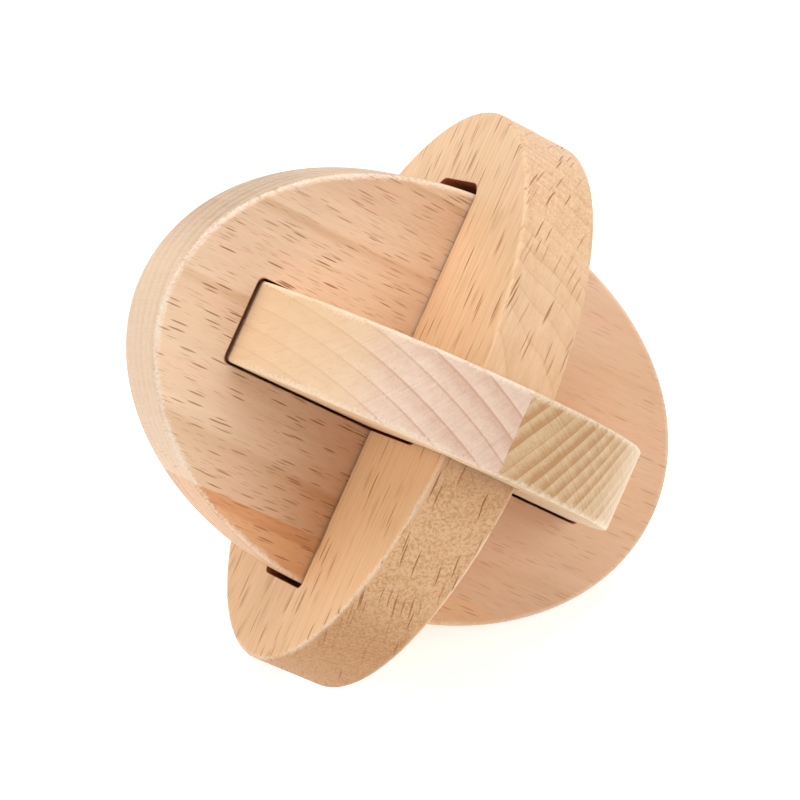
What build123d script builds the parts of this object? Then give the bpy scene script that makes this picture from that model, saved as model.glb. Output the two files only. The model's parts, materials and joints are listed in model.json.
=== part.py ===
from build123d import *
import math
import os

# Three oval plates, each standing through a slot in the next, resting on three rims with the line
# that makes equal angles with all three plates upright.
# Millimetres. Origin at the point where the plates cross. +Z up, +X along the longest extent.

# One plate: a flat oval board
plate_length = 70.0
plate_width = 50.0
plate_thickness = 10.0

# Softened rims, sanded by hand
cross_rim_radius = 0.7
upright_rim_radius = 0.5
key_rim_radius = 0.4

# Room left in each slot
side_clearance = 0.3
cross_slot_end_clearance = 0.4
upright_slot_top_clearance = 1.0
upright_slot_bottom_clearance = 0.4
key_slot_end_clearance = 0.5

# Corners left by the slot cutter
cross_slot_corner = 1.0
upright_slot_top_corner = 2.0
upright_slot_bottom_corner = 1.0
key_slot_corner = 1.2

# Cross cut in the upright plate that lets the end wall of the key plate through.
# It starts open at the back rim and stops short of the front rim.
cut_front_wall = 8.0
cut_corner = 1.5
cut_overrun = 1.0

# Glue lines, measured from the middle of each plate
cross_glue_line = -19.1
key_glue_line = -3.3

slot_width = plate_thickness + 2 * side_clearance
cross_slot_end = plate_width / 2 + cross_slot_end_clearance
upright_slot_top = plate_width / 2 + upright_slot_top_clearance
upright_slot_bottom = -plate_width / 2 - upright_slot_bottom_clearance
key_slot_end = plate_width / 2 + key_slot_end_clearance
cut_front = plate_width / 2 - cut_front_wall
cut_back = -plate_width / 2 - cut_corner - cut_overrun

# Long axes of the plates. Each plate's face looks along the long axis of another plate, and all
# three axes lean at the same angle to the vertical.
cross_axis = Vector(math.sqrt(2 / 3), 0, -math.sqrt(1 / 3))
upright_axis = Vector(math.sqrt(1 / 6), math.sqrt(1 / 2), math.sqrt(1 / 3))
key_axis = cross_axis.cross(upright_axis)

# Drawing planes: x along the plate, y across it, z out of its face
cross_plane = Plane(origin=(0, 0, 0), x_dir=cross_axis, z_dir=key_axis)
upright_plane = Plane(origin=(0, 0, 0), x_dir=upright_axis, z_dir=cross_axis)
key_plane = Plane(origin=(0, 0, 0), x_dir=key_axis, z_dir=upright_axis)


def oval_board(rim_radius):
    """Oval board lying flat on its own middle plane, with both rims softened."""
    outline = Ellipse(plate_length / 2, plate_width / 2)
    board = extrude(outline, amount=plate_thickness / 2, both=True)
    rims = board.edges().filter_by(GeomType.ELLIPSE)
    return fillet(rims, rim_radius)


def slot_tool(low_end, high_end, low_corner, high_corner):
    """Block that cuts a slot along the middle of a board, from its low end to its high end."""
    outline = Pos((low_end + high_end) / 2, 0) * Rectangle(high_end - low_end, slot_width)
    outline = fillet(outline.vertices().group_by(Axis.X)[-1], high_corner)
    outline = fillet(outline.vertices().group_by(Axis.X)[0], low_corner)
    return extrude(outline, amount=plate_thickness, both=True)


def cross_cut_tool():
    """Block that cuts from the back rim, across the slot, to the wall left at the front rim."""
    outline = RectangleRounded(slot_width, cut_front - cut_back, cut_corner)
    block = extrude(outline, amount=plate_thickness, both=True)
    return Pos(0, (cut_front + cut_back) / 2, 0) * block


def split_at(board, line):
    """Both staves of a board glued up along a line: the one below it and the one above it."""
    reach = plate_length
    lower_side = Pos(0, line - reach / 2, 0) * Box(2 * reach, reach, reach)
    lower = board & lower_side
    upper = board - lower_side
    return lower, upper


def cross_plate():
    """Plate with the broad face: a main stave and a narrow stave along its lower edge."""
    slot = slot_tool(-cross_slot_end, cross_slot_end, cross_slot_corner, cross_slot_corner)
    board = oval_board(cross_rim_radius) - slot
    edge_stave, main_stave = split_at(board, cross_glue_line)
    return {
        "cross_plate_edge_stave": cross_plane * edge_stave,
        "cross_plate_main_stave": cross_plane * main_stave,
    }


def upright_plate():
    """Plate that is open at its back rim, so that the key plate can be drawn out of it."""
    slot = slot_tool(
        upright_slot_bottom, upright_slot_top, upright_slot_bottom_corner, upright_slot_top_corner
    )
    board = oval_board(upright_rim_radius) - slot - cross_cut_tool()
    return {"upright_plate": upright_plane * board}


def key_plate():
    """Plate that slides out first: two staves glued together beside its middle line."""
    slot = slot_tool(-key_slot_end, key_slot_end, key_slot_corner, key_slot_corner)
    board = oval_board(key_rim_radius) - slot
    left_stave, right_stave = split_at(board, key_glue_line)
    return {
        "key_plate_left_stave": key_plane * left_stave,
        "key_plate_right_stave": key_plane * right_stave,
    }


pieces = {}
pieces.update(cross_plate())
pieces.update(upright_plate())
pieces.update(key_plate())

os.makedirs("parts", exist_ok=True)
for name, piece in pieces.items():
    solid = piece.solids()[0]
    solid.label = name
    export_step(solid, f"parts/{name}.step")
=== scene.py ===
"""A wooden burr puzzle: three oval beech plates, each standing through a slot in the next.

The plates keep their shapes from the frame. Each stave is dressed as its own piece of beech: a solid
pattern of growth rings, rays and fibres, set by how the stave was sawn, with rims worn pale by sanding.
Some of the colour is painted shade and painted light: darker, more red patches where the key plate
shades the other two plates, a paler lower-left corner on the cross plate, darker end grain that faces
down, and slot walls darkened partly by scorching and partly as painted shade.
"""
import json
import logging
import math
from dataclasses import dataclass, field
from enum import Enum
from typing import Any

import bmesh
import bpy
from mathutils import Matrix, Vector


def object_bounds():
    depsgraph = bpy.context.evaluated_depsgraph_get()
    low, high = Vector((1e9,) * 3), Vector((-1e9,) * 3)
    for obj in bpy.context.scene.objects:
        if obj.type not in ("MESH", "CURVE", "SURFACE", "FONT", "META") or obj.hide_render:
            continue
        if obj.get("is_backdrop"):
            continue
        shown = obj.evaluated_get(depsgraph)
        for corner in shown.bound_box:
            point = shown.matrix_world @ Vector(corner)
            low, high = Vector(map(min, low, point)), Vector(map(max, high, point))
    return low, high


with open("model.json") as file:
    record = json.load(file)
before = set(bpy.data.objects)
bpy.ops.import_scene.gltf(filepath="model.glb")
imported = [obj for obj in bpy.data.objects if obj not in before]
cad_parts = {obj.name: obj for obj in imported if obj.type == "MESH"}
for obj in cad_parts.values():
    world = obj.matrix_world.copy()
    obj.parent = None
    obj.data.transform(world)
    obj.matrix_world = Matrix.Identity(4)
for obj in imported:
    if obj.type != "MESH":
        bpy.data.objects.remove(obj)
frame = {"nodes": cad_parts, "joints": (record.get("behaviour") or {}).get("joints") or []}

MILLIMETRES = 1000.0
# Corners within this many millimetres of each other lie on one wall.
SLACK = 0.05
# A slot's walls are straight within this share of the plate's half length.
STRAIGHT = 0.7
# Corners beyond this share of a plate's half sizes belong to its rim, not to an opening.
INSIDE = 0.9

logging.basicConfig(level=logging.INFO, format="%(message)s")
log = logging.getLogger("burr_puzzle")

Colour = tuple[float, float, float]


def srgb(red: int, green: int, blue: int) -> Colour:
    """Turns a display colour into the linear one that a shader takes.

    Args:
        red: Red, 0 to 255.
        green: Green, 0 to 255.
        blue: Blue, 0 to 255.

    Returns:
        The linear colour.
    """
    def linear(level: int) -> float:
        """One channel, by the display curve."""
        share = level / 255
        if share <= 0.04045:
            return share / 12.92
        return ((share + 0.055) / 1.055) ** 2.4

    return linear(red), linear(green), linear(blue)


class Signal:
    """A number that varies over a surface, held as a shader socket."""

    def __init__(self, graph: "Graph", socket: bpy.types.NodeSocket) -> None:
        """Wraps a socket of the graph's own tree."""
        self.graph = graph
        self.socket = socket

    def math(self, operation: str, *others: Any) -> "Signal":
        """Adds a Math node.

        Args:
            operation: The node's operation.
            others: The second and third values, signals or plain numbers.

        Returns:
            The node's result.
        """
        return self.graph.math(operation, self, *others)

    def __add__(self, other: Any) -> "Signal":
        """self + other."""
        return self.math("ADD", other)

    __radd__ = __add__

    def __sub__(self, other: Any) -> "Signal":
        """self - other."""
        return self.math("SUBTRACT", other)

    def __rsub__(self, other: Any) -> "Signal":
        """other - self."""
        return self.graph.math("SUBTRACT", other, self)

    def __mul__(self, other: Any) -> "Signal":
        """self * other."""
        return self.math("MULTIPLY", other)

    __rmul__ = __mul__

    def __truediv__(self, other: Any) -> "Signal":
        """self / other."""
        return self.math("DIVIDE", other)

    def __pow__(self, power: Any) -> "Signal":
        """self to a power."""
        return self.math("POWER", power)

    def __abs__(self) -> "Signal":
        """The size of self."""
        return self.math("ABSOLUTE")

    def larger(self, other: Any) -> "Signal":
        """The larger of the two."""
        return self.math("MAXIMUM", other)

    def smaller(self, other: Any) -> "Signal":
        """The smaller of the two."""
        return self.math("MINIMUM", other)

    def step(self, low: Any, high: Any) -> "Signal":
        """A smooth rise from 0 at low to 1 at high.

        Args:
            low: Where the rise starts.
            high: Where it ends.

        Returns:
            A signal from 0 to 1.
        """
        node = self.graph.node(
            "ShaderNodeMapRange",
            {"interpolation_type": "SMOOTHSTEP"},
            {"Value": self, "From Min": low, "From Max": high},
        )
        return Signal(self.graph, node.outputs[0])


class Graph:
    """The node tree of one material."""

    noise_roughness = 0.55
    speck_core = 0.6
    speck_rim = 1.1
    weakest_speck = 0.3
    # A colour Mix node's sockets have the same names for every kind of data, so they go by number.
    mix_share = 0
    mix_first = 6
    mix_second = 7
    mix_result = 2

    def __init__(self, name: str) -> None:
        """Makes an empty material of that name."""
        self.material = bpy.data.materials.new(name)
        self.material.use_nodes = True
        self.tree = self.material.node_tree
        self.tree.nodes.clear()

    def node(self, kind: str, settings: dict[str, Any], sockets: dict[Any, Any]) -> bpy.types.Node:
        """Adds a node.

        Args:
            kind: The node's type.
            settings: Its properties, which are set first.
            sockets: What each input takes: a signal, a socket or a plain value.

        Returns:
            The node.
        """
        made = self.tree.nodes.new(kind)
        for name, value in settings.items():
            setattr(made, name, value)
        for name, value in sockets.items():
            if isinstance(value, Signal):
                value = value.socket
            if isinstance(value, bpy.types.NodeSocket):
                self.tree.links.new(value, made.inputs[name])
            else:
                made.inputs[name].default_value = value
        return made

    def math(self, operation: str, *values: Any) -> Signal:
        """Adds a Math node on signals or plain numbers.

        Args:
            operation: The node's operation.
            values: Its inputs, in order.

        Returns:
            The node's result.
        """
        node = self.node("ShaderNodeMath", {"operation": operation}, dict(enumerate(values)))
        return Signal(self, node.outputs[0])

    def dot(self, vector: bpy.types.NodeSocket, axis: Vector) -> Signal:
        """How far a vector reaches along an axis."""
        node = self.node("ShaderNodeVectorMath", {"operation": "DOT_PRODUCT"}, {0: vector, 1: axis})
        return Signal(self, node.outputs["Value"])

    def join(self, x: Any, y: Any, z: Any) -> bpy.types.NodeSocket:
        """Three signals as one vector."""
        return self.node("ShaderNodeCombineXYZ", {}, {0: x, 1: y, 2: z}).outputs[0]

    def stretch(self, vector: bpy.types.NodeSocket, size: Vector) -> bpy.types.NodeSocket:
        """A vector counted in steps of its own size along each axis."""
        steps = Vector(1 / length for length in size)
        return self.node("ShaderNodeVectorMath", {"operation": "MULTIPLY"}, {0: vector, 1: steps}).outputs[0]

    def noise(self, vector: bpy.types.NodeSocket, size: Vector, detail: float = 2.0) -> Signal:
        """A cloudy pattern.

        Args:
            vector: Where on the timber it is read.
            size: How large its clouds are along each axis of that vector.
            detail: How many finer layers it has.

        Returns:
            A signal about 0, mostly within a half either way.
        """
        place = self.stretch(vector, size)
        made = self.node(
            "ShaderNodeTexNoise",
            {"noise_dimensions": "3D"},
            {"Vector": place, "Scale": 1.0, "Detail": detail, "Roughness": self.noise_roughness},
        )
        return Signal(self, made.outputs[0]) - 0.5

    def specks(self, vector: bpy.types.NodeSocket, size: Vector, cover: float) -> Signal:
        """Many scattered spindle-shaped specks, each of its own strength.

        Args:
            vector: Where on the timber they are read.
            size: How far apart they are along each axis of that vector.
            cover: Their radius, as a share of that spacing.

        Returns:
            A signal from 0, between the specks, to 1, inside the strongest.
        """
        place = self.stretch(vector, size)
        made = self.node(
            "ShaderNodeTexVoronoi",
            {"voronoi_dimensions": "3D", "feature": "F1"},
            {"Vector": place, "Scale": 1.0, "Randomness": 1.0},
        )
        distance = Signal(self, made.outputs["Distance"])
        inside = 1 - distance.step(cover * self.speck_core, cover * self.speck_rim)
        strength = self.dot(made.outputs["Color"], Vector((1, 0, 0)))
        return inside * (strength * (1 - self.weakest_speck) + self.weakest_speck)

    def mix(self, share: Any, first: Any, second: Any) -> bpy.types.NodeSocket:
        """A colour between two others.

        Args:
            share: How much of the second, 0 to 1.
            first: A colour or its socket.
            second: A colour or its socket.

        Returns:
            The colour's socket.
        """
        def full(colour: Any) -> Any:
            """The colour with its alpha, where it is a plain one."""
            return (*colour, 1.0) if isinstance(colour, tuple) else colour

        node = self.node(
            "ShaderNodeMix",
            {"data_type": "RGBA", "clamp_factor": True},
            {self.mix_share: share, self.mix_first: full(first), self.mix_second: full(second)},
        )
        return node.outputs[self.mix_result]


class Beech(Enum):
    """The finishes, one for each stave, by the names of their material slots."""

    REDDISH = "beech_reddish"
    ORANGE = "beech_orange"
    TAN = "beech_tan"
    PINK = "beech_pink"
    YELLOW = "beech_yellow"


@dataclass(frozen=True)
class Drift:
    """A slow change across a stave, from its start to its stop along an axis, in millimetres.

    Share says how much of the colour it brings in, and calm how much of the rings and flecks it takes out.
    """

    axis: Vector
    start: float
    stop: float
    colour: Colour
    share: float
    calm: float = 0.0


@dataclass(frozen=True)
class Timber:
    """A piece of beech. Lengths are in millimetres, and depths say how strongly a feature shows.

    End is the colour of the end grain. Where a darker underside colour is given, it is painted shade on the
    end grain and rims that face down.
    """

    pale: Colour
    deep: Colour
    blush: Colour
    fleck: Colour
    worn: Colour
    end: Colour
    # Painted shade: a darker colour for end grain and rims that face down.
    underside_shade: Colour | None = None
    drifts: tuple[Drift, ...] = ()
    ring_spacing: float = 2.3
    ring_depth: float = 0.45
    ring_line: float = 0.6
    ring_curve: float = 300.0
    ring_waver: float = 0.5
    ray_height: float = 5.0
    ray_width: float = 0.4
    ray_reach: float = 6.0
    ray_cover: float = 0.26
    ray_depth: float = 0.95
    rim_ray_depth: float = 0.0
    end_ray_depth: float = 0.5
    pore_length: float = 6.0
    pore_width: float = 0.42
    pore_cover: float = 0.2
    pore_depth: float = 0.4
    streak_depth: float = 0.6
    fibre_depth: float = 0.5
    speckle_depth: float = 1.0
    foot_wear: float = 0.0
    edge_width: float = 0.8
    edge_depth: float = 0.6
    seed: float = 0.0

    def deepened(self, colour: Colour) -> Colour:
        """The darker tone of a colour of the end grain, as much darker as it is along the grain."""
        return tuple(tone * deep / pale for tone, deep, pale in zip(colour, self.deep, self.pale))


@dataclass(frozen=True)
class Sawing:
    """How a stave lies in its log: the way its grain runs, and the way its rings grow."""

    grain: Vector
    radial: Vector

    @property
    def tangential(self) -> Vector:
        """The direction along the rings, across the grain."""
        return self.grain.cross(self.radial).normalized()


@dataclass(frozen=True)
class Opening:
    """A cut through a plate: how far it reaches along and across it, and its corners, in millimetres."""

    low: float
    high: float
    near: float
    far: float
    low_corner: float
    high_corner: float


@dataclass(frozen=True)
class Oval:
    """One plate's axes, half its length, width and thickness in millimetres, and what is cut through it."""

    long_axis: Vector
    short_axis: Vector
    normal: Vector
    half_length: float
    half_width: float
    half_thickness: float
    openings: tuple[Opening, ...]


class BeechFinish:
    """Bare beech, sanded and handled, as one material for one stave, with some painted shade and painted
    light in its colour.

    Sizes are in millimetres, and those of the figure run out from the heart, around it and along the grain.
    A pair is the start and the end of a smooth rise.
    """

    roughness = 0.55
    gloss = 0.3
    relief = 0.00005
    relief_strength = 0.6
    seed_stride = 37.0

    rim_turn = (0.4, 0.8)
    end_turn = (0.45, 0.9)
    grain_turn = (0.3, 0.65)
    # How far a surface must face down to take the painted underside shade.
    underside_shade_turn = (0.15, 0.75)
    foot_reach = (1.0, 9.0)

    ragged_size = Vector((0.32, 0.32, 0.32))
    patch_size = Vector((5.0, 5.0, 5.0))
    worn_ragged = 2.4
    worn_patchy = 1.8
    worn_least = 0.2
    worn_rise = (0.1, 1.0)
    worn_cover = 0.85
    worn_mottle = 1.2

    # Scorching on the walls and lips of the openings, also painted shade for the narrow gaps where the plates
    # meet.
    scorch_and_shade_colour = srgb(150, 76, 38)
    scorch_and_shade_cover = 0.9
    scorch_and_shade_start = 0.03
    scorch_and_shade_width = 0.08
    scorch_and_shade_ragged = 1.6
    scorch_and_shade_size = Vector((0.7, 0.7, 0.7))
    corner_blend = 1.0

    waver_size = Vector((12.0, 12.0, 60.0))
    line_rise = (0.82, 0.94)
    line_fall = (0.95, 1.0)
    band_rise = (0.1, 0.85)
    band_fall = (0.93, 1.0)
    faintest_band = 0.25

    sway_size = Vector((14.0, 6.0, 22.0))
    sway = 1.2
    fine_size = 0.55
    fine_share = 0.4
    side_share = 0.2
    fleck_fade = 0.85
    pore_fade = 0.6
    fleck_most = 0.85

    rim_slant = 0.67
    rim_waver = 0.8
    rim_ray_size = Vector((7.0, 0.46, 1.0))
    rim_ray_cover = 0.25

    torn_fade = 0.55
    torn_fade_turn = (0.55, 0.95)
    torn_end = 0.35
    torn_end_turn = (0.3, 0.7)

    streak_size = Vector((1.0, 1.0, 26.0))
    fibre_size = Vector((0.14, 0.14, 3.0))
    cloud_size = Vector((11.0, 11.0, 11.0))
    blush_size = Vector((2.6, 2.6, 16.0))
    end_ray_size = Vector((7.0, 0.24, 4.0))
    rim_share = 0.7
    end_share = 0.9
    plain_tone = 0.3
    cloud_depth = 0.35
    blush_depth = 2.2

    fibre_height = 0.6
    speckle_height = 1.5
    fleck_height = 0.8
    ring_height = 0.12
    fibre_rough = 0.15
    fleck_gloss = 0.06
    worn_gloss = 0.05
    scorch_rough = 0.2

    def __init__(self, name: str, timber: Timber, sawing: Sawing, oval: Oval) -> None:
        """Sets the graph up on the stave's own coordinates.

        Args:
            name: The material's name.
            timber: The colours and figure of the wood.
            sawing: How the stave was cut from its log.
            oval: The plate that the stave belongs to, for its worn rims and cut edges.
        """
        self.graph = Graph(name)
        self.timber = timber
        self.oval = oval
        graph = self.graph
        coordinates = graph.node("ShaderNodeTexCoord", {}, {})
        place = graph.node(
            "ShaderNodeVectorMath",
            {"operation": "SCALE"},
            {0: coordinates.outputs["Object"], "Scale": MILLIMETRES},
        )
        self.place = place.outputs[0]
        self.across = graph.dot(self.place, oval.long_axis)
        self.up = graph.dot(self.place, oval.short_axis)
        self.along = graph.dot(self.place, sawing.grain)
        self.radial = graph.dot(self.place, sawing.radial)
        self.around = graph.dot(self.place, sawing.tangential)
        self.timber_place = graph.join(self.radial, self.around, self.lengthwise())
        self.depth = graph.dot(self.place, oval.normal)
        normal = coordinates.outputs["Normal"]
        self.on_rim = (1 - abs(graph.dot(normal, oval.normal))).step(*self.rim_turn)
        self.off_rim = 1 - self.on_rim * (1 if timber.rim_ray_depth else 0)
        self.faces_radial = abs(graph.dot(normal, sawing.radial))
        lean = graph.dot(normal, sawing.grain)
        self.faces_end = abs(lean)
        self.faces_foot = (0 - lean).larger(0.0)
        below = (0 - self.along).step(*self.foot_reach)
        self.wear = below * timber.foot_wear + (1 - timber.foot_wear)

    def lengthwise(self) -> Signal:
        """How far along the grain, in a stretch of the log that is the stave's own."""
        return self.along + self.timber.seed * self.seed_stride

    def worn_edge(self) -> Signal:
        """Where sanding has rubbed the corner between a face and the rim."""
        graph, oval = self.graph, self.oval
        across = self.across / oval.half_length
        up = self.up / oval.half_width
        reach = (across * across + up * up) ** 0.5
        slope = ((across / oval.half_length) ** 2 + (up / oval.half_width) ** 2) ** 0.5 / reach
        from_rim = (1 - reach) / slope
        from_face = oval.half_thickness - abs(self.depth)
        ragged = graph.noise(self.place, self.ragged_size)
        patchy = graph.noise(self.place, self.patch_size, detail=1.0)
        uneven = (1 + self.worn_ragged * ragged + self.worn_patchy * patchy).larger(self.worn_least)
        width = self.timber.edge_width * uneven
        worn = 1 - (from_rim.larger(from_face) / width).step(*self.worn_rise)
        return worn * self.wear * (self.worn_cover + self.worn_mottle * ragged)

    def scorch_and_shade_edge(self) -> Signal:
        """Where the cutter has scorched the walls and the lips of the openings; the same darkening is also
        painted shade for the narrow gaps where the plates meet.
        """
        outside = None
        for opening in self.oval.openings:
            middle = (opening.low + opening.high) / 2
            rise = self.across.step(middle - self.corner_blend, middle + self.corner_blend)
            corner = opening.low_corner + rise * (opening.high_corner - opening.low_corner)
            along = (opening.low - self.across).larger(self.across - opening.high) + corner
            over = (opening.near - self.up).larger(self.up - opening.far) + corner
            bend = (along.larger(0.0) ** 2 + over.larger(0.0) ** 2) ** 0.5
            gap = bend + along.larger(over).smaller(0.0) - corner
            outside = gap if outside is None else outside.smaller(gap)
        ragged = 1 + self.scorch_and_shade_ragged * self.graph.noise(self.place, self.scorch_and_shade_size)
        return 1 - outside.step(self.scorch_and_shade_start, self.scorch_and_shade_width * ragged)

    def late_wood(self) -> Signal:
        """The darker, denser end of each year's growth."""
        graph, timber = self.graph, self.timber
        waver = graph.noise(self.timber_place, self.waver_size) * (2 * timber.ring_waver)
        curve = timber.ring_curve
        from_heart = ((self.radial + curve) ** 2 + self.around ** 2) ** 0.5 - curve
        age = (from_heart + waver) / timber.ring_spacing
        year = age.math("FLOOR")
        growth = age - year
        year_mark = graph.node(
            "ShaderNodeTexWhiteNoise",
            {"noise_dimensions": "1D"},
            {"W": year + timber.seed},
        )
        year_tone = Signal(graph, year_mark.outputs["Value"])
        line = growth.step(*self.line_rise) * (1 - growth.step(*self.line_fall))
        band = growth.step(*self.band_rise) * (1 - growth.step(*self.band_fall))
        return line * timber.ring_line + band * (self.faintest_band + (1 - self.faintest_band) * year_tone)

    def flecks(self) -> Signal:
        """The ends and sides of the rays, dark and spindle shaped on a flat-sawn face."""
        graph, timber = self.graph, self.timber
        sway = graph.noise(self.timber_place, self.sway_size, detail=1.0) * self.sway
        place = graph.join(self.radial, self.around + sway, self.lengthwise())
        size = Vector((timber.ray_reach, timber.ray_width, timber.ray_height))
        broad = graph.specks(place, size, timber.ray_cover)
        fine = graph.specks(place, size * self.fine_size, timber.ray_cover)
        facing = self.side_share + (1 - self.side_share) * self.faces_radial
        strength = facing * (1 - self.fleck_fade * self.faces_end.step(*self.end_turn))
        shown = (broad + self.fine_share * fine) * strength * self.off_rim * timber.ray_depth
        return shown + self.rim_flecks()

    def rim_flecks(self) -> Signal:
        """The rays where the rim cuts them: fine dark lines that run around it."""
        graph, oval = self.graph, self.oval
        angle = (self.up / oval.half_width).math("ARCTAN2", self.across / oval.half_length)
        arc = angle * ((oval.half_length + oval.half_width) / 2)
        waver = graph.noise(self.place, self.patch_size, detail=1.0) * self.rim_waver
        place = graph.join(arc, self.depth + waver + self.up * self.rim_slant, self.timber.seed)
        lines = graph.specks(place, self.rim_ray_size, self.rim_ray_cover)
        return lines * self.on_rim * self.timber.rim_ray_depth

    def progress(self, drift: Drift) -> Signal:
        """How far one of the timber's drifts has gone, from 0 to 1."""
        return self.graph.dot(self.place, drift.axis).step(drift.start, drift.stop)

    def pores(self) -> Signal:
        """Open vessels: long dark lines along the grain, and pin pricks where they are cut across."""
        timber = self.timber
        size = Vector((timber.pore_width, timber.pore_width, timber.pore_length))
        strength = (1 - self.pore_fade * self.faces_end.step(*self.end_turn)) * self.off_rim
        return self.graph.specks(self.timber_place, size, timber.pore_cover) * strength * timber.pore_depth

    def speckle(self) -> Signal:
        """Torn grain: most of it low on the rim, some on the end grain."""
        timber = self.timber
        turned = self.faces_foot.step(*self.torn_fade_turn)
        torn = self.on_rim * self.wear * timber.foot_wear * (1 - self.torn_fade * turned)
        torn = torn + self.torn_end * self.faces_end.step(*self.torn_end_turn)
        return self.graph.noise(self.place, self.ragged_size) * torn * timber.speckle_depth

    def wood_colour(self, tone: Signal, across_grain: Signal) -> bpy.types.NodeSocket:
        """The wood before its flecks: pale to deep, along the grain and across it, with painted shade on end
        grain and rims that face down.

        Args:
            tone: From pale, 0, to deep, 1.
            across_grain: How far the surface cuts across the grain.

        Returns:
            The colour's socket.
        """
        graph, timber = self.graph, self.timber
        # Painted shade: end grain and rims that face down take the darker underside colour, where one is
        # given.
        underside_shade = timber.underside_shade or timber.end
        underside_shade_share = self.faces_foot.step(*self.underside_shade_turn)
        end = graph.mix(underside_shade_share, timber.end, underside_shade)
        end_deep = graph.mix(underside_shade_share, timber.deepened(timber.end), timber.deepened(underside_shade))
        pale = graph.mix(across_grain, timber.pale, end)
        deep = graph.mix(across_grain, timber.deep, end_deep)
        return graph.mix(tone, pale, deep)

    def build(self) -> bpy.types.Material:
        """Joins the figure of the wood into one shader.

        Returns:
            The finished material.
        """
        graph, timber = self.graph, self.timber
        drifts = [(drift, self.progress(drift)) for drift in timber.drifts]
        late = self.late_wood()
        fleck = (self.flecks() + self.pores()).smaller(self.fleck_most)
        for drift, gone in drifts:
            if drift.calm:
                late = late * (1 - gone * drift.calm)
                fleck = fleck * (1 - gone * drift.calm)
        streak = graph.noise(self.timber_place, self.streak_size, detail=3.0)
        fibre = graph.noise(self.timber_place, self.fibre_size)
        cloud = graph.noise(self.place, self.cloud_size)
        blush = graph.noise(self.timber_place, self.blush_size)
        across_grain = self.faces_end.step(*self.grain_turn).larger(self.on_rim * self.rim_share)
        across_grain = across_grain * self.end_share
        speckle = self.speckle()
        end_rays = graph.noise(self.timber_place, self.end_ray_size, detail=1.0)
        end_rays = end_rays * across_grain * timber.end_ray_depth

        tone = self.plain_tone + late * timber.ring_depth + streak * timber.streak_depth
        tone = tone + fibre * timber.fibre_depth + cloud * self.cloud_depth + speckle + end_rays
        colour = self.wood_colour(tone, across_grain)
        blushing = (blush * self.blush_depth).larger(0.0) * (1 - across_grain)
        colour = graph.mix(blushing, colour, timber.blush)
        # Slow colour changes: some are the wood's own, some are painted shade and painted light.
        for drift, gone in drifts:
            colour = graph.mix(gone * drift.share, colour, drift.colour)
        colour = graph.mix(fleck, colour, timber.fleck)
        worn = self.worn_edge() * timber.edge_depth
        colour = graph.mix(worn, colour, timber.worn)
        # Dark walls and lips of the openings: partly real scorching, partly painted shade in the gaps where
        # the plates meet.
        scorch_and_shade = self.scorch_and_shade_edge()
        colour = graph.mix(scorch_and_shade * self.scorch_and_shade_cover, colour, self.scorch_and_shade_colour)

        height = fibre * self.fibre_height + speckle * self.speckle_height
        height = height - fleck * self.fleck_height - late * self.ring_height
        bump = graph.node(
            "ShaderNodeBump",
            {},
            {"Strength": self.relief_strength, "Distance": self.relief, "Height": height},
        )
        rough = self.roughness + fibre * self.fibre_rough - fleck * self.fleck_gloss
        rough = rough - worn * self.worn_gloss + scorch_and_shade * self.scorch_rough
        shader = graph.node(
            "ShaderNodeBsdfPrincipled",
            {},
            {
                "Base Color": colour,
                "Roughness": rough,
                "Normal": bump.outputs[0],
                "Specular IOR Level": self.gloss,
            },
        )
        graph.node("ShaderNodeOutputMaterial", {}, {"Surface": shader.outputs[0]})
        return graph.material


@dataclass(frozen=True)
class Stave:
    """One piece of timber in a plate."""

    node: str
    slot: Beech
    timber: Timber
    grain: Vector
    radial: Vector


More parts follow.
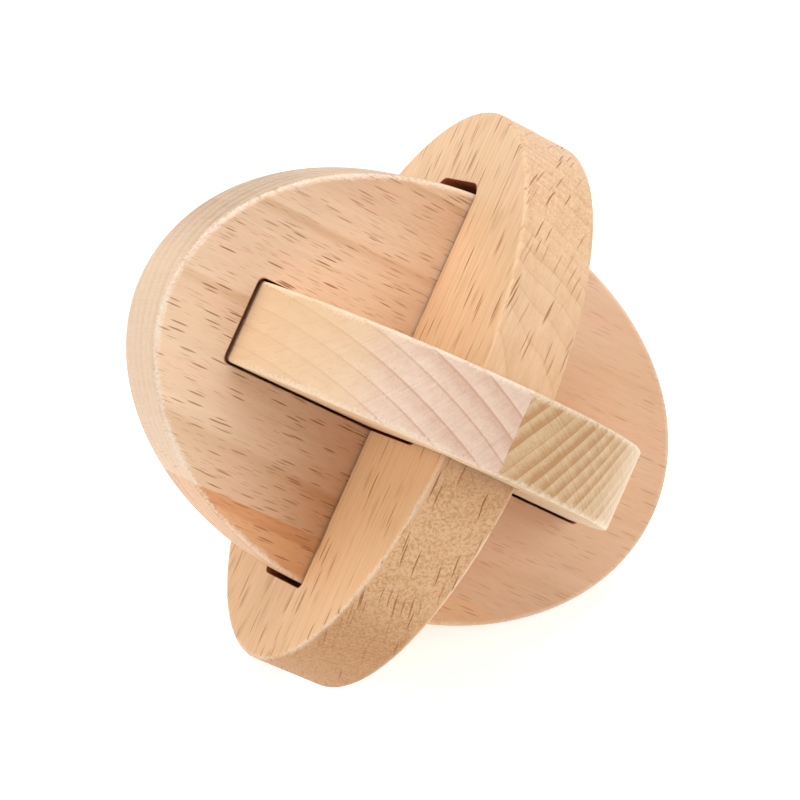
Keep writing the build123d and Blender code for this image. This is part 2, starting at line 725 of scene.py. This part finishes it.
@dataclass(frozen=True)
class Plate:
    """An oval plate of one or two staves."""

    name: str
    long_axis: Vector
    short_axis: Vector
    staves: tuple[Stave, ...]
    cross_cut: bool = False

    def points(self) -> list[tuple[float, float, float]]:
        """Every corner of the plate's meshes, along the plate, across it and out of its face.

        Returns:
            The three distances of each, in millimetres.
        """
        axes = (self.long_axis, self.short_axis, self.long_axis.cross(self.short_axis))
        meshes = (frame["nodes"][stave.node].data for stave in self.staves)
        corners = (vertex.co * MILLIMETRES for mesh in meshes for vertex in mesh.vertices)
        return [tuple(corner.dot(axis) for axis in axes) for corner in corners]

    def openings(
        self, points: list[tuple[float, float, float]], half_length: float, half_width: float
    ) -> tuple[Opening, ...]:
        """Finds the slot along the plate, and the cross cut where the plate has one.

        Args:
            points: The plate's corners.
            half_length: Half the plate's length.
            half_width: Half its width.

        Returns:
            The openings.
        """
        inner = [(x, y) for x, y, _ in points if abs(x) < INSIDE * half_length]
        side = min(abs(y) for x, y in inner if abs(x) < STRAIGHT * half_length)
        ends = [x for x, y in inner if abs(y) < side - SLACK]
        sides = [x for x, y in inner if abs(abs(y) - side) < SLACK]
        low, high = min(ends), max(ends)
        slot = Opening(low, high, -side, side, min(sides) - low, high - max(sides))
        if not self.cross_cut:
            return (slot,)
        inner = [(x, y) for x, y in inner if abs(y) < INSIDE * half_width]
        wall = max(y for x, y in inner if abs(x) < side - SLACK)
        corner = wall - max(y for x, y in inner if abs(abs(x) - side) < SLACK)
        beyond_rim = -2 * half_width
        return slot, Opening(-side, side, beyond_rim, wall, corner, corner)

    def oval(self) -> Oval:
        """Measures the plate from its nodes.

        Returns:
            The plate's axes, half sizes and openings.
        """
        points = self.points()
        length, width, thickness = (max(abs(point[k]) for point in points) for k in range(3))
        normal = self.long_axis.cross(self.short_axis)
        openings = self.openings(points, length, width)
        return Oval(self.long_axis, self.short_axis, normal, length, width, thickness, openings)

    def dress(self) -> None:
        """Gives each stave its own beech."""
        oval = self.oval()
        for stave in self.staves:
            piece = frame["nodes"][stave.node]
            sawing = Sawing(stave.grain, stave.radial)
            finish = BeechFinish(stave.slot.value, stave.timber, sawing, oval)
            piece.data.materials.clear()
            piece.data.materials.append(finish.build())
            log.info("%s: %s dressed as %s", self.name, stave.node, stave.slot.value)


@dataclass(frozen=True)
class Axes:
    """The three directions that the plates lie along, read from the joints."""

    cross: Vector
    upright: Vector
    key: Vector

    @classmethod
    def from_joints(cls) -> "Axes":
        """Reads the axes from the sliding joints.

        Returns:
            The three long axes of the plates.
        """
        joints = {joint["name"]: Vector(joint["axis"]).normalized() for joint in frame["joints"]}
        cross = joints["cross_plate_play"]
        key = joints["key_plate_slide"]
        return cls(cross, key.cross(cross).normalized(), key)


def tilted(start: Vector, towards: Vector, degrees: float) -> Vector:
    """A direction turned from one axis towards another."""
    turn = math.radians(degrees)
    return (start * math.cos(turn) + towards * math.sin(turn)).normalized()


@dataclass(frozen=True)
class Puzzle:
    """The three plates and the beech they are made from."""

    axes: Axes

    def cross_plate(self) -> Plate:
        """The plate that lies across: a wide stave with a narrow one glued along its lower rim."""
        axes = self.axes
        # Painted shade: the face turns darker and more red towards its lower right, for the warm bounced
        # shade under the key plate.
        painted_warm_shade = Drift(
            axis=tilted(axes.cross, -axes.upright, 45), start=-8.0, stop=8.0,
            colour=srgb(204, 138, 86), share=0.42,
        )
        calmer = Drift(axis=axes.cross, start=2.0, stop=18.0, colour=srgb(224, 184, 150), share=0.1, calm=0.6)
        # Painted light: the lower-left corner of the face is made paler, where more light falls on it.
        painted_light_lower_left = Drift(
            axis=tilted(-axes.cross, -axes.upright, 45), start=14.0, stop=24.0,
            colour=srgb(246, 214, 182), share=0.35,
        )
        main = Timber(
            pale=srgb(240, 210, 180), deep=srgb(204, 160, 120), blush=srgb(234, 186, 158),
            fleck=srgb(152, 92, 54), worn=srgb(242, 228, 210), end=srgb(198, 174, 148),
            drifts=(painted_warm_shade, calmer, painted_light_lower_left), ring_spacing=1.8, ring_depth=0.4, edge_depth=0.7,
            foot_wear=0.6, seed=1.0,
        )
        tanner = Drift(
            axis=axes.cross, start=-10.0, stop=4.0, colour=srgb(218, 172, 130), share=0.7, calm=0.3
        )
        edge = Timber(
            pale=srgb(236, 184, 136), deep=srgb(206, 142, 92), blush=srgb(236, 166, 122),
            fleck=srgb(156, 92, 56), worn=srgb(242, 226, 206), end=srgb(216, 190, 162),
            drifts=(tanner,), ring_spacing=2.0, ring_depth=0.35, edge_depth=0.7,
            foot_wear=0.6, seed=2.0,
        )
        main_radial = tilted(axes.key, axes.upright, 8)
        edge_radial = tilted(axes.key, axes.upright, -12)
        return Plate("cross plate", axes.cross, axes.upright, (
            Stave("cross_plate_main_stave", Beech.REDDISH, main, axes.cross, main_radial),
            Stave("cross_plate_edge_stave", Beech.ORANGE, edge, axes.cross, edge_radial),
        ))

    def upright_plate(self) -> Plate:
        """The plate that stands up: one stave."""
        axes = self.axes
        # Painted shade: the face turns darker and more orange below its middle, where the key plate shades
        # it.
        painted_shade_below_key = Drift(axis=-axes.upright, start=-3.0, stop=5.0, colour=srgb(216, 156, 96), share=0.32)
        timber = Timber(
            pale=srgb(234, 202, 164), deep=srgb(200, 154, 108), blush=srgb(228, 184, 146),
            fleck=srgb(150, 92, 46), worn=srgb(238, 218, 192), end=srgb(230, 194, 158),
            underside_shade=srgb(180, 138, 98), drifts=(painted_shade_below_key,), ring_spacing=0.9, ring_depth=0.22, ring_waver=0.9,
            # Painted shade: the darker colour of end grain and rims that face down.
            ray_height=8.0, ray_width=0.5, rim_ray_depth=1.0, pore_length=8.0, pore_width=0.6,
            pore_cover=0.25, pore_depth=0.95, fibre_depth=0.4, speckle_depth=4.0, foot_wear=1.0,
            edge_width=0.6, seed=3.0,
        )
        radial = tilted(axes.key, -axes.cross, 13)
        staves = (Stave("upright_plate", Beech.TAN, timber, axes.upright, radial),)
        return Plate("upright plate", axes.upright, axes.key, staves, cross_cut=True)

    def key_plate(self) -> Plate:
        """The plate that slides out first: two staves side by side."""
        axes = self.axes
        yellower = Drift(
            axis=-axes.cross, start=13.0, stop=23.0, colour=srgb(224, 184, 132), share=0.5, calm=0.4
        )
        left = Timber(
            pale=srgb(234, 206, 168), deep=srgb(204, 160, 124), blush=srgb(230, 196, 160),
            fleck=srgb(168, 114, 76), worn=srgb(244, 226, 202), end=srgb(226, 202, 184),
            drifts=(yellower,), ring_depth=0.5, ring_line=0.9, ring_curve=140.0, ring_waver=0.15,
            ray_depth=0.3, pore_depth=0.25, seed=4.0,
        )
        whiter = Drift(axis=axes.cross, start=9.0, stop=23.0, colour=srgb(234, 216, 188), share=0.8, calm=0.4)
        right = Timber(
            pale=srgb(222, 202, 168), deep=srgb(188, 148, 104), blush=srgb(214, 184, 144),
            fleck=srgb(160, 112, 70), worn=srgb(240, 226, 200), end=srgb(214, 184, 144),
            drifts=(whiter,), ring_spacing=1.5, ring_depth=0.8, ring_line=0.3, ring_waver=0.4,
            end_ray_depth=0.8, pore_depth=0.3, seed=5.0,
        )
        left_radial = tilted(axes.upright, axes.cross, 31.8)
        right_radial = tilted(axes.cross, -axes.upright, 31.0)
        return Plate("key plate", axes.key, axes.cross, (
            Stave("key_plate_left_stave", Beech.PINK, left, axes.key, left_radial),
            Stave("key_plate_right_stave", Beech.YELLOW, right, axes.key, right_radial),
        ))

    def dress(self) -> None:
        """Dresses every plate."""
        for plate in (self.cross_plate(), self.upright_plate(), self.key_plate()):
            plate.dress()


@dataclass(frozen=True)
class Lamp:
    """A soft square light: the way to it from the puzzle, its side in metres and its power in watts."""

    name: str
    direction: Vector
    side: float
    power: float

    def hang(self, distance: float) -> None:
        """Hangs the light that many metres from the puzzle, pointed at it."""
        data = bpy.data.lights.new(self.name, "AREA")
        data.energy = self.power
        data.shape = "SQUARE"
        data.size = self.side
        lamp = bpy.data.objects.new(self.name, data)
        lamp.location = self.direction.normalized() * distance
        lamp.rotation_mode = "QUATERNION"
        lamp.rotation_quaternion = self.direction.to_track_quat("Z", "Y")
        bpy.context.scene.collection.objects.link(lamp)


LAMPS = (
    Lamp("overhead_light", Vector((-0.05, 0.4, 0.9)), side=1.1, power=10.0),
    Lamp("left_light", Vector((-0.8, -0.35, 0.6)), side=0.7, power=4.4),
    Lamp("right_light", Vector((0.8, -0.4, 0.6)), side=0.7, power=4.5),
)


@dataclass(frozen=True)
class Studio:
    """A pale table top, soft light and the camera. Lengths are in metres, angles in degrees."""

    lowest: Vector
    floor_radius: float = 3.0
    floor_segments: int = 96
    floor_tone: float = 0.75
    floor_roughness: float = 0.9
    floor_glow: float = 0.6
    lamp_distance: float = 0.9
    sky_strength: float = 0.05
    azimuth: float = -1.043
    elevation: float = 48.467
    roll: float = 0.776
    distance: float = 0.36
    aim: Vector = field(default_factory=lambda: Vector((-0.00061, -0.000142, -0.000135)))
    lens: float = 137.18
    sensor: float = 36.0

    def lay_floor(self) -> None:
        """Lays the table top that the puzzle rests on."""
        shape = bmesh.new()
        bmesh.ops.create_circle(shape, cap_ends=True, segments=self.floor_segments, radius=self.floor_radius)
        bmesh.ops.translate(shape, verts=shape.verts, vec=(0, 0, self.lowest.z))
        mesh = bpy.data.meshes.new("floor")
        shape.to_mesh(mesh)
        shape.free()
        floor = bpy.data.objects.new("floor", mesh)
        bpy.context.scene.collection.objects.link(floor)
        graph = Graph("table_top")
        shader = graph.node(
            "ShaderNodeBsdfPrincipled",
            {},
            {
                "Base Color": (self.floor_tone, self.floor_tone, self.floor_tone, 1.0),
                "Roughness": self.floor_roughness,
                "Emission Color": (1.0, 1.0, 1.0, 1.0),
                "Emission Strength": self.floor_glow,
            },
        )
        graph.node("ShaderNodeOutputMaterial", {}, {"Surface": shader.outputs[0]})
        mesh.materials.append(graph.material)
        floor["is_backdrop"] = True

    def light(self) -> None:
        """Lights the table from above and the left."""
        world = bpy.data.worlds.new("studio")
        world.use_nodes = True
        background = world.node_tree.nodes["Background"]
        background.inputs["Color"].default_value = (1.0, 1.0, 1.0, 1.0)
        background.inputs["Strength"].default_value = self.sky_strength
        bpy.context.scene.world = world
        for lamp in LAMPS:
            lamp.hang(self.lamp_distance)

    def place_camera(self) -> None:
        """Sets the camera up at its distance, looking at the aim point."""
        turn = math.radians(self.azimuth)
        rise = math.radians(self.elevation)
        tip = math.radians(self.roll)
        back = Vector((math.sin(turn) * math.cos(rise), -math.cos(turn) * math.cos(rise), math.sin(rise)))
        level = Vector((0, 0, 1)).cross(back).normalized()
        right = level * math.cos(tip) + back.cross(level) * math.sin(tip)
        up = back.cross(right)
        data = bpy.data.cameras.new("camera")
        data.lens = self.lens
        data.sensor_width = self.sensor
        camera = bpy.data.objects.new("camera", data)
        turned = Matrix((right, up, back)).transposed().to_4x4()
        camera.matrix_world = Matrix.Translation(self.aim + back * self.distance) @ turned
        bpy.context.scene.collection.objects.link(camera)
        bpy.context.scene.camera = camera

    def build(self) -> None:
        """Builds the whole studio."""
        self.lay_floor()
        self.light()
        self.place_camera()
        bpy.context.scene.view_settings.view_transform = "Standard"
        log.info("studio: floor, three lights and camera")


def main() -> None:
    """Dresses the puzzle and builds the studio at the puzzle's lowest point."""
    cad_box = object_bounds()
    Puzzle(Axes.from_joints()).dress()
    Studio(cad_box[0]).build()
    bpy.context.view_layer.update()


if __name__ == "__main__":
    main()
